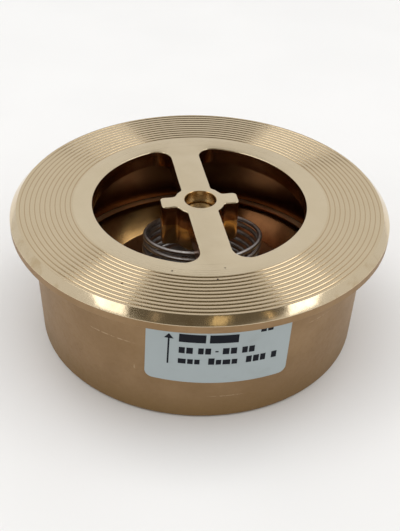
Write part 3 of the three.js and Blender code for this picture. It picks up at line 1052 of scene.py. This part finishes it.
@dataclass
class SeatRing:
    """The ring let in from the inlet side: lip, funnel, seat land and a grooved inlet face."""

    outer_radius: float = field(default_factory=lambda: reach("seat_ring"))
    lip_z: float = field(default_factory=lambda: level("seat_ring", True))
    bore_radius: float = 20.0
    lip_wall: float = 2.5
    lip_rounding: float = 4.5
    funnel_gap: float = 1.4
    land_z: float = 6.8
    land_width: float = 2.0
    land_step: float = 0.6
    bore_chamfer: float = 0.8
    groove_pitch: float = 1.11
    groove_depth: float = 0.25
    groove_margin: float = 1.5
    spanner_radius: float = 2.0
    spanner_depth: float = 3.0
    segments: int = 320

    def profile(self) -> list[Point2]:
        """Gives the ring's closed profile, without repeating its first point."""
        start = self.bore_radius + self.bore_chamfer + self.groove_margin
        room = self.outer_radius - self.groove_margin - start
        count = int(room // self.groove_pitch)
        grooves = []
        for i in range(count * 4 + 1):
            share = i / 4
            dip = abs(math.sin(math.pi * share)) ** 1.3
            grooves.append((start + share * self.groove_pitch, self.groove_depth * dip))
        lip_radius = self.outer_radius - self.lip_wall
        land_edge = self.bore_radius + self.land_width
        corners = [
            (self.bore_radius, self.land_z, 0.1),
            (self.bore_radius, self.bore_chamfer, 0.2),
            (self.bore_radius + self.bore_chamfer, 0.0, 0.1),
            *grooves,
            (self.outer_radius, 0.0, 0.2),
            (self.outer_radius, self.lip_z, 0.12),
            (lip_radius, self.lip_z, self.lip_rounding),
            (reach("valve_disc") + self.funnel_gap, self.land_z - self.land_step, 1.5),
            (land_edge + self.land_step, self.land_z - self.land_step, 0.1),
            (land_edge, self.land_z, 0.15),
            (self.bore_radius + 0.3, self.land_z),
        ]
        return rounded_profile(corners, 8)

    def build(self, finish: bpy.types.Material) -> None:
        """Builds the ring, cuts its two spanner holes and puts it on the housing body."""
        surface = Surface()
        loops = surface.turn(self.profile(), self.segments)
        surface.skin([loops[-1], loops[0]])
        piece = surface.made("seat_insert", [finish])
        middle = (self.bore_radius + self.outer_radius) / 2
        for side in (1, -1):
            drill = Surface()
            spot = (side * middle, 0.0)
            rows = [drill.loop(circle(self.spanner_radius, 40, spot), z) for z in (-1.0, self.spanner_depth)]
            drill.skin(rows)
            drill.cap(rows[0])
            drill.cap(rows[1])
            cutter = drill.made("drill", [finish])
            cut = piece.modifiers.new("spanner_hole", "BOOLEAN")
            cut.operation = "DIFFERENCE"
            cut.solver = "EXACT"
            cut.object = cutter
            bpy.context.view_layer.update()
            drilled = piece.evaluated_get(bpy.context.evaluated_depsgraph_get())
            shape = bpy.data.meshes.new_from_object(drilled)
            piece.modifiers.clear()
            piece.data = shape
            bpy.data.objects.remove(cutter)
        piece.data.set_sharp_from_angle(angle=math.radians(32))
        fitted(piece, Body.HOUSING, Slot.MACHINED_BRONZE, "seat_ring")


# ------------------------------------------------------------------ moving pieces


@dataclass
class ClosingDisc:
    """The steel disc with the boss that centres the spring."""

    radius: float = field(default_factory=lambda: reach("valve_disc"))
    bottom_z: float = field(default_factory=lambda: level("valve_disc", False))
    top_z: float = field(default_factory=lambda: level("valve_disc", True))
    thickness: float = 2.4
    edge: float = 0.5
    boss_radius: float = 12.2
    hole_radius: float = 3.15
    segments: int = 240

    def build(self, finish: bpy.types.Material) -> None:
        """Builds the disc and puts it on the disc body."""
        upper = self.bottom_z + self.thickness
        corners = [
            (self.hole_radius, self.bottom_z + 0.2),
            (self.hole_radius + 0.2, self.bottom_z),
            (self.radius - 4.4, self.bottom_z, 0.2),
            (self.radius - 4.0, self.bottom_z + 0.25, 0.2),
            (self.radius - 3.6, self.bottom_z, 0.2),
            (self.radius, self.bottom_z, self.edge),
            (self.radius, upper, self.edge),
            (self.boss_radius, upper, 0.35),
            (self.boss_radius, self.top_z, self.edge),
            (self.hole_radius + 0.2, self.top_z),
            (self.hole_radius, self.top_z - 0.2),
        ]
        surface = Surface()
        loops = surface.turn(rounded_profile(corners), self.segments)
        surface.skin([loops[-1], loops[0]])
        piece = surface.made("closing_disc", [finish])
        fitted(piece, Body.DISC, Slot.STAINLESS, "valve_disc")


@dataclass
class GuideStem:
    """The stem: polished shaft, collar and threaded spigot."""

    bottom_z: float = field(default_factory=lambda: level("guide_stem", False))
    top_z: float = field(default_factory=lambda: level("guide_stem", True))
    radius: float = 3.45
    collar_radius: float = field(default_factory=lambda: reach("guide_stem"))
    collar_z: tuple[float, float] = (11.1, 13.1)
    spigot_radius: float = 3.0
    thread_top_z: float = 6.6
    thread_pitch: float = 1.0
    thread_depth: float = 0.28
    end_chamfer: float = 0.6
    segments: int = 96

    def thread_rows(self, surface: Surface) -> list[Loop]:
        """Adds the thread as rows whose radius follows a helix, fading out at both ends."""
        rows = []
        steps = 60
        for k in range(steps + 1):
            z = self.bottom_z + (self.thread_top_z - self.bottom_z) * k / steps
            from_end = z - self.bottom_z
            fade = min(1.0, max(0.0, (self.thread_top_z - z) / 0.5))
            points = []
            for i in range(self.segments):
                turn = (z / self.thread_pitch - i / self.segments) % 1.0
                dip = self.thread_depth * (1 - abs(2 * turn - 1)) * fade
                limit = self.spigot_radius - max(0.0, self.end_chamfer - from_end)
                radius = min(self.spigot_radius - dip, limit)
                points.append((*polar(radius, 360 * i / self.segments), z))
            rows.append(surface.row(points))
        return rows

    def build(self, finish: bpy.types.Material) -> None:
        """Builds the stem and puts it on the stem body."""
        surface = Surface()
        thread = self.thread_rows(surface)
        surface.skin(thread)
        surface.cap(thread[0])
        low, high = self.collar_z
        corners = [
            (self.spigot_radius, self.thread_top_z),
            (self.spigot_radius, low, 0.1),
            (self.collar_radius, low, 0.2),
            (self.collar_radius, high, 0.3),
            (self.radius, high, 0.2),
            (self.radius, self.top_z, self.end_chamfer),
            (self.radius - 1.2, self.top_z, 0.1),
            (0.9, self.top_z, 0.1),
            (0.35, self.top_z - 0.45),
        ]
        profile = rounded_profile(corners)
        loops = [surface.loop(circle(radius, self.segments), z) for radius, z in profile[1:]]
        surface.skin([thread[-1], *loops])
        surface.cap(loops[-1])
        fitted(surface.made("guide_stem_turned", [finish]), Body.STEM, Slot.STAINLESS, "guide_stem")


@dataclass
class StemFasteners:
    """The plain washer and the thin hexagon nut under the disc."""

    hole_radius: float = 3.1
    washer_radius: float = field(default_factory=lambda: reach("stem_washer"))
    washer_z: tuple[float, float] = field(
        default_factory=lambda: (level("stem_washer", False), level("stem_washer", True))
    )
    across_flats: float = 10.0
    nut_z: tuple[float, float] = field(
        default_factory=lambda: (level("stem_nut", False), level("stem_nut", True))
    )

    def washer(self, finish: bpy.types.Material) -> None:
        """Builds the washer with its rolled edges."""
        low, high = self.washer_z
        corners = [
            (self.hole_radius, (low + high) / 2),
            (self.hole_radius, low, 0.12),
            (self.washer_radius, low, 0.15),
            (self.washer_radius, high, 0.25),
            (self.hole_radius, high, 0.12),
            (self.hole_radius, (low + high) / 2 + 0.05),
        ]
        surface = Surface()
        loops = surface.turn(rounded_profile(corners), 120)
        surface.skin([loops[-1], loops[0]])
        fitted(surface.made("washer_under_disc", [finish]), Body.STEM, Slot.FASTENER, "stem_washer")

    def hexagon(self, degrees: float) -> float:
        """Gives the nut's radius at a bearing."""
        from_flat = (degrees % 60.0) - 30.0
        return self.across_flats / 2 / math.cos(math.radians(from_flat))

    def nut(self, finish: bpy.types.Material) -> None:
        """Builds the nut: its corners are cut back by a cone on both faces."""
        low, high = self.nut_z
        face_radius = self.across_flats / 2 * 0.94
        slope = math.tan(math.radians(30))
        steps = 120
        bearings = [360 * i / steps for i in range(steps)]
        surface = Surface()

        def ring(radius: Callable[[float], float], height: Callable[[float], float]) -> Loop:
            """Adds one loop whose radius and height depend on the bearing."""
            return surface.row([(*polar(radius(b), b), height(b)) for b in bearings])

        cut = {b: (self.hexagon(b) - face_radius) * slope for b in bearings}
        rows = [
            ring(lambda b: self.hole_radius, lambda b: low + 0.4),
            ring(lambda b: self.hole_radius + 0.35, lambda b: low),
            ring(lambda b: face_radius, lambda b: low),
            ring(self.hexagon, lambda b: low + cut[b]),
            ring(self.hexagon, lambda b: high - cut[b]),
            ring(lambda b: face_radius, lambda b: high),
            ring(lambda b: self.hole_radius + 0.35, lambda b: high),
            ring(lambda b: self.hole_radius, lambda b: high - 0.4),
        ]
        surface.skin([*rows, rows[0]])
        fitted(surface.made("thin_nut", [finish], 20.0), Body.STEM, Slot.FASTENER, "stem_nut")


@dataclass
class ClosingSpring:
    """The round-wire spring: right-hand turns that close up at both ends and lean at the top."""

    bottom_z: float = field(default_factory=lambda: level("closing_spring", False))
    top_z: float = field(default_factory=lambda: level("closing_spring", True))
    mean_radius: float = 13.3
    wire_radius: float = 0.5
    turns: float = 6.25
    lean: float = 3.2
    closing: float = 0.3
    sideways: Point2 = (0.75, -0.15)
    tip_bearing: float = -90.0
    lift: float = 8.0
    steps_per_turn: int = 60
    sides: int = 18

    def centre(self, share: float) -> Vector:
        """Gives the wire's centre at a share of its length, from the disc up to the bar."""
        degrees = self.tip_bearing - 360.0 * self.turns * (1 - share)
        low, high = self.bottom_z + self.wire_radius, self.top_z - self.wire_radius
        closing = self.closing / (2 * math.pi) * math.sin(2 * math.pi * share)
        upper = share * share * (3 - 2 * share)
        lean = self.lean * upper
        rise = (high - low - self.lean) * (share - closing)
        towards_tip = math.cos(math.radians(degrees - self.tip_bearing))
        x, y = polar(self.mean_radius, degrees, (self.sideways[0] * upper, self.sideways[1] * upper))
        return Vector((x, y, low + rise + lean * towards_tip))

    def build(self, finish: bpy.types.Material) -> None:
        """Builds the wire, with its sheared ends, and puts it on the housing body."""
        surface = Surface()
        count = round(self.turns * self.steps_per_turn)
        rows = []
        for i in range(count + 1):
            share = i / count
            here = self.centre(share)
            along = (self.centre(min(1.0, share + 1e-4)) - self.centre(max(0.0, share - 1e-4))).normalized()
            outward = Vector((here.x, here.y, 0.0)).normalized()
            side = (outward - along * outward.dot(along)).normalized()
            upward = along.cross(side)
            end = min(i, count - i)
            radius = self.wire_radius * (0.86 if end == 0 else 1.0)
            ring = []
            for k in range(self.sides):
                angle = 2 * math.pi * k / self.sides
                ring.append(tuple(here + (side * math.cos(angle) + upward * math.sin(angle)) * radius))
            rows.append(surface.row(ring))
        surface.skin(rows)
        surface.cap(rows[0])
        surface.cap(rows[-1])
        piece = fitted(
            surface.made("spring_wire", [finish], 50.0), Body.HOUSING, Slot.SPRING, "closing_spring"
        )
        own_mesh(piece)


# ------------------------------------------------------------------ label


@dataclass
class RatingLabel:
    """The adhesive label on the barrel, stuck on a little askew, with plain blocks in place of words."""

    casting: HousingCasting
    middle_z: float = field(
        default_factory=lambda: (level("rating_label", False) + level("rating_label", True)) / 2
    )
    bearing: float = -93.7
    tilt: float = -1.8
    width: float = 30.4
    height: float = 16.4
    corner: float = 1.7
    lift_off: float = 0.03
    thickness: float = 0.11
    ink: float = 0.02

    def place(self, along: float, up: float, off: float) -> Point3:
        """Gives a point over the barrel.

        Args:
            along: Distance to the right of the label's middle, in the label's own frame.
            up: Distance above the label's middle, in the label's own frame.
            off: Distance from the barrel.

        Returns:
            The point.
        """
        tilt = math.radians(self.tilt)
        across = along * math.cos(tilt) - up * math.sin(tilt)
        z = self.middle_z + along * math.sin(tilt) + up * math.cos(tilt)
        radius = self.casting.barrel_radius(z)
        x, y = polar(radius + off, self.bearing + math.degrees(across / radius))
        return x, y, z

    def sheet(
        self, surface: Surface, limits: Callable[[float], Point2], span: Point2, off: Point2, rows: int = 2
    ) -> None:
        """Adds one bent sheet.

        Args:
            surface: The surface to add to.
            limits: Gives the sheet's lower and upper edge at a distance along it.
            span: Where the sheet starts and ends along the label.
            off: Distance of its inner and outer side from the barrel.
            rows: Number of strips from its lower to its upper edge.
        """
        columns = max(2, round((span[1] - span[0]) / 0.5))
        inner, outer = [], []
        for i in range(columns + 1):
            share = 0.5 - 0.5 * math.cos(math.pi * i / columns)
            along = span[0] + (span[1] - span[0]) * share
            low, high = limits(along)
            heights = [low + (high - low) * k / rows for k in range(rows + 1)]
            inner.append(surface.row([self.place(along, up, off[0]) for up in heights]))
            outer.append(surface.row([self.place(along, up, off[1]) for up in heights]))
        surface.skin(inner, closed=False)
        surface.skin(outer, closed=False)
        for i in range(columns):
            for k in (0, rows):
                surface.cap([inner[i][k], inner[i + 1][k], outer[i + 1][k], outer[i][k]])
        for i in (0, columns):
            for k in range(rows):
                surface.cap([inner[i][k], inner[i][k + 1], outer[i][k + 1], outer[i][k]])

    def rounded_limits(self, along: float) -> Point2:
        """Gives the film's lower and upper edge at a distance along it, with its corners rounded."""
        from_end = self.width / 2 - abs(along)
        cut = 0.0
        if from_end < self.corner:
            cut = self.corner - math.sqrt(max(0.0, self.corner**2 - (self.corner - from_end) ** 2))
        return -self.height / 2 + cut, self.height / 2 - cut

    def block(self, surface: Surface, start: float, length: float, low: float, high: float) -> float:
        """Adds one printed block and returns where it ends."""
        outer = self.lift_off + self.thickness
        off = (outer - 0.01, outer + self.ink)
        self.sheet(surface, lambda along: (low, high), (start, start + length), off)
        return start + length

    def print_arrow(self, surface: Surface) -> None:
        """Adds the flow arrow: a thin shaft and a flat head."""
        middle, tail, tip, shaft, head_width, head_height = -10.43, -3.35, 4.9, 0.36, 1.95, 1.3
        self.block(surface, middle - shaft / 2, shaft, tail, tip - head_height)
        outer = self.lift_off + self.thickness
        half = head_width / 2

        def limits(along: float) -> Point2:
            """Gives the head's lower and upper edge."""
            rise = head_height * (1 - abs(along - middle) / half)
            return tip - head_height, tip - head_height + max(rise, 0.02)

        self.sheet(surface, limits, (middle - half, middle + half), (outer - 0.01, outer + self.ink), 1)

    def print_blocks(self, surface: Surface) -> None:
        """Adds the three lines of blocks, each word a run of small blocks, and two at the top edge."""
        random = Random(40)
        gap = 0.3
        heavy = self.block(surface, -8.4, 5.4, 2.95, 5.1)
        self.block(surface, heavy + 0.75, 5.85, 2.95, 5.1)
        small_words = [(-8.3, 2), (-4.4, 2), (0.55, 2), (4.55, 2)]
        for start, letters in small_words:
            for _ in range(letters):
                start = self.block(surface, start, random.uniform(1.1, 1.35), -0.1, 1.55) + gap
        self.block(surface, -0.95, 0.65, 0.5, 0.85)
        low_words = [(-8.35, (0, 1, 1)), (-2.2, (2, 1, 0, 1)), (5.6, (2, 2, 2)), (11.1, (2,))]
        widths, tops = (1.55, 1.15, 1.2), (-1.62, -1.62, -1.2)
        for start, letters in low_words:
            for kind in letters:
                width = widths[kind] * random.uniform(0.93, 1.05)
                start = self.block(surface, start, width, -2.95, tops[kind]) + gap
        for start in (8.1, 9.6):
            self.block(surface, start, 1.2, 4.9, 6.6)

    def build(self, film: bpy.types.Material, ink: bpy.types.Material) -> None:
        """Builds the film and its print and puts both on the housing body."""
        surface = Surface()
        off = (self.lift_off, self.lift_off + self.thickness)
        half = self.width / 2 - 0.01
        self.sheet(surface, self.rounded_limits, (-half, half), off, 8)
        fitted(surface.made("label_film", [film]), Body.HOUSING, Slot.LABEL, "rating_label")
        marks = Surface()
        self.print_arrow(marks)
        self.print_blocks(marks)
        fitted(marks.made("label_print", [ink]), Body.HOUSING, Slot.LABEL)


# ------------------------------------------------------------------ studio


@dataclass(frozen=True)
class Softbox:
    """One level light panel above the valve, in metres and degrees, placed as the camera sees it."""

    name: str
    right: float
    away: float
    turn: float
    width: float
    depth: float
    radiance: float
    height: float = 0.6
    colour: Colour = (1.0, 1.0, 1.0)
    seen: bool = True

    @property
    def power(self) -> float:
        """Gives the power that the panel's radiance needs."""
        return math.pi * self.radiance * self.width * self.depth


@dataclass
class Studio:
    """Floor, soft lights and camera."""

    camera_place: Point3 = (-33.99, -172.18, 142.63)
    heading: float = -11.3
    pitch: float = 36.46
    roll: float = 1.951
    lens: float = 62.29
    sensor: float = 36.0
    floor_half: float = 900.0
    wall: float = 0.72
    ceiling: float = 0.12
    ceiling_colour: Colour = (1.0, 0.86, 0.64)
    wall_top: tuple[float, float] = (44.0, 50.0)
    near_side: float = 0.135
    panels: tuple[Softbox, ...] = (
        Softbox("left_softbox", -0.417, -0.112, -26.6, 0.27, 0.95, 1.75),
        Softbox("right_softbox", 0.537, -0.064, 38.4, 0.30, 0.95, 1.75),
        Softbox("overhead_fill", 0.0, 0.0, 0.0, 1.4, 1.4, 2.0, 1.5, seen=False),
        Softbox("warm_card", 0.15, -0.575, 0.0, 0.10, 0.18, 0.7, colour=(1.0, 0.78, 0.42)),
        Softbox("warm_strip", 0.485, -0.49, 45.0, 0.02, 0.18, 1.2, colour=(1.0, 0.74, 0.40)),
        Softbox("thin_strip", -0.262, -0.56, -20.0, 0.035, 0.18, 0.4, colour=(1.0, 0.80, 0.58)),
    )

    def camera(self) -> None:
        """Adds the camera."""
        data = bpy.data.cameras.new("camera")
        data.lens = self.lens
        data.sensor_width = self.sensor
        data.clip_start = 0.01
        heading, pitch, roll = (math.radians(a) for a in (self.heading, self.pitch, self.roll))
        level_right = Vector((math.cos(heading), math.sin(heading), 0.0))
        level_ahead = Vector((-math.sin(heading), math.cos(heading), 0.0))
        ahead = level_ahead * math.cos(pitch) - Vector((0.0, 0.0, math.sin(pitch)))
        level_up = level_ahead * math.sin(pitch) + Vector((0.0, 0.0, math.cos(pitch)))
        right = level_right * math.cos(roll) + level_up * math.sin(roll)
        up = level_up * math.cos(roll) - level_right * math.sin(roll)
        turn = Matrix((right, up, -ahead)).transposed().to_4x4()
        eye = bpy.data.objects.new("camera", data)
        bpy.context.scene.collection.objects.link(eye)
        eye.matrix_world = Matrix.Translation(Vector(self.camera_place) * MM) @ turn
        bpy.context.scene.camera = eye

    def hang(self, panel: Softbox) -> None:
        """Adds one light panel, facing down."""
        data = bpy.data.lights.new(panel.name, "AREA")
        data.shape = "RECTANGLE"
        data.size = panel.width
        data.size_y = panel.depth
        data.energy = panel.power
        data.color = panel.colour
        lamp = bpy.data.objects.new(panel.name, data)
        lamp.visible_glossy = panel.seen
        heading, turn = (Matrix.Rotation(math.radians(a), 4, "Z") for a in (self.heading, panel.turn))
        lamp.matrix_world = heading @ Matrix.Translation((panel.right, panel.away, panel.height)) @ turn
        bpy.context.scene.collection.objects.link(lamp)

    def floor(self) -> None:
        """Adds the pale floor."""
        sketch = NodeSketch("floor_paper")
        cloud = sketch.smooth(sketch.noise(60.0, 2.0), 0.3, 0.7)
        tone = sketch.mix(cloud, (0.86, 0.86, 0.86), (0.84, 0.84, 0.84))
        sketch.set(Base_Color=tone, Roughness=0.9, Specular_IOR_Level=0.1)
        surface = Surface()
        half = self.floor_half
        corners = [(-half, -half), (half, -half), (half, half), (-half, half)]
        surface.cap(surface.loop(corners, 0.0))
        surface.made("floor", [sketch.material])

    @staticmethod
    def smooth_step(tree: bpy.types.NodeTree, limits: dict[str, float]) -> bpy.types.Node:
        """Adds a smooth step between the given limits and returns its node."""
        node = tree.nodes.new("ShaderNodeMapRange")
        node.interpolation_type = "SMOOTHSTEP"
        for name, value in limits.items():
            node.inputs[name].default_value = value
        return node

    def world(self) -> None:
        """Adds the room: pale walls, lower on the camera's side, and a darker ceiling."""
        world = bpy.data.worlds.new("studio")
        world.use_nodes = True
        tree = world.node_tree
        background = tree.nodes["Background"]
        direction = tree.nodes.new("ShaderNodeTexCoord").outputs["Generated"]
        height = tree.nodes.new("ShaderNodeSeparateXYZ")
        facing = tree.nodes.new("ShaderNodeVectorMath")
        facing.operation = "DOT_PRODUCT"
        heading = math.radians(self.heading)
        facing.inputs[1].default_value = (math.sin(heading), -math.cos(heading), 0.0)
        near = self.smooth_step(
            tree, {"From Min": 0.3, "From Max": 0.46, "To Min": 0.0, "To Max": self.near_side}
        )
        raised = tree.nodes.new("ShaderNodeMath")
        low, high = (math.sin(math.radians(a)) for a in self.wall_top)
        light = self.smooth_step(
            tree, {"From Min": low, "From Max": high, "To Min": self.wall, "To Max": self.ceiling}
        )
        tint = tree.nodes.new("ShaderNodeMapRange")
        tint.data_type = "FLOAT_VECTOR"
        limits = {
            "From_Min_FLOAT3": (low, low, low),
            "From_Max_FLOAT3": (high, high, high),
            "To_Min_FLOAT3": (1.0, 1.0, 1.0),
            "To_Max_FLOAT3": self.ceiling_colour,
        }
        for socket in tint.inputs:
            if socket.identifier in limits:
                socket.default_value = limits[socket.identifier]
        tree.links.new(direction, height.inputs[0])
        tree.links.new(direction, facing.inputs[0])
        tree.links.new(facing.outputs["Value"], near.inputs["Value"])
        tree.links.new(height.outputs["Z"], raised.inputs[0])
        tree.links.new(near.outputs["Result"], raised.inputs[1])
        tree.links.new(raised.outputs[0], light.inputs["Value"])
        tree.links.new(light.outputs["Result"], background.inputs["Strength"])
        tree.links.new(raised.outputs[0], tint.inputs["Vector"])
        tree.links.new(tint.outputs["Vector"], background.inputs["Color"])
        bpy.context.scene.world = world

    def build(self) -> None:
        """Builds the whole studio."""
        self.camera()
        self.floor()
        self.world()
        for panel in self.panels:
            self.hang(panel)
        bpy.context.scene.view_settings.view_transform = "Standard"
        LOG.info("studio ready with %d panels", len(self.panels))


# ------------------------------------------------------------------ assembly


def main() -> None:
    """Builds the studio and every piece, in order."""
    logging.basicConfig(level=logging.INFO, format="%(name)s: %(message)s")
    Studio().build()
    casting = HousingCasting()
    face = TurnedFace().made("turned_face_bronze", casting.outlet_z, casting.groove_depth)
    skin = CastSkin().made("cast_skin_bronze")
    # Painted shade: the chamber takes a darker copy of the inner bronze to stand for the shade inside the
    # housing.
    chamber = InnerBronze(gold=(0.37, 0.17, 0.07), brown=(0.28, 0.115, 0.045)).made("chamber_bronze_painted_shade")
    bridge = InnerBronze().made("bridge_bronze")
    edge = TurnedEdge().made("turned_edge_bronze")
    casting.build([face, skin, chamber, edge, bridge])
    ring = SeatRing()
    golden = InnerBronze(
        gold=(0.52, 0.32, 0.125),
        brown=(0.36, 0.19, 0.07),
        smoothness=0.17,
        # The pale painted highlight on the lip's ledge starts at the next height; the painted shade patch
        # lies between the bearings after it.
        matt_highlight_above=ring.lip_z - 0.07,
        tarnished_and_shaded=(0.0, 110.0),
    )
    ring.build(golden.made("seat_ring_bronze"))
    ClosingDisc().build(TurnedSteel().made("disc_steel"))
    GuideStem().build(TurnedSteel(smoothness=0.2).made("stem_steel"))
    fasteners = StemFasteners()
    bright = TurnedSteel(clean=(0.55, 0.54, 0.53), grain=0.2).made("fastener_steel")
    fasteners.washer(bright)
    fasteners.nut(bright)
    ClosingSpring().build(SpringWire().made("spring_steel"))
    film = LabelFilm().made("label_film_matt")
    ink = LabelFilm(clean=(0.008, 0.009, 0.014), soiled=(0.014, 0.015, 0.018), sheen=0.1).made("label_ink")
    RatingLabel(casting).build(film, ink)


if __name__ == "__main__":
    main()
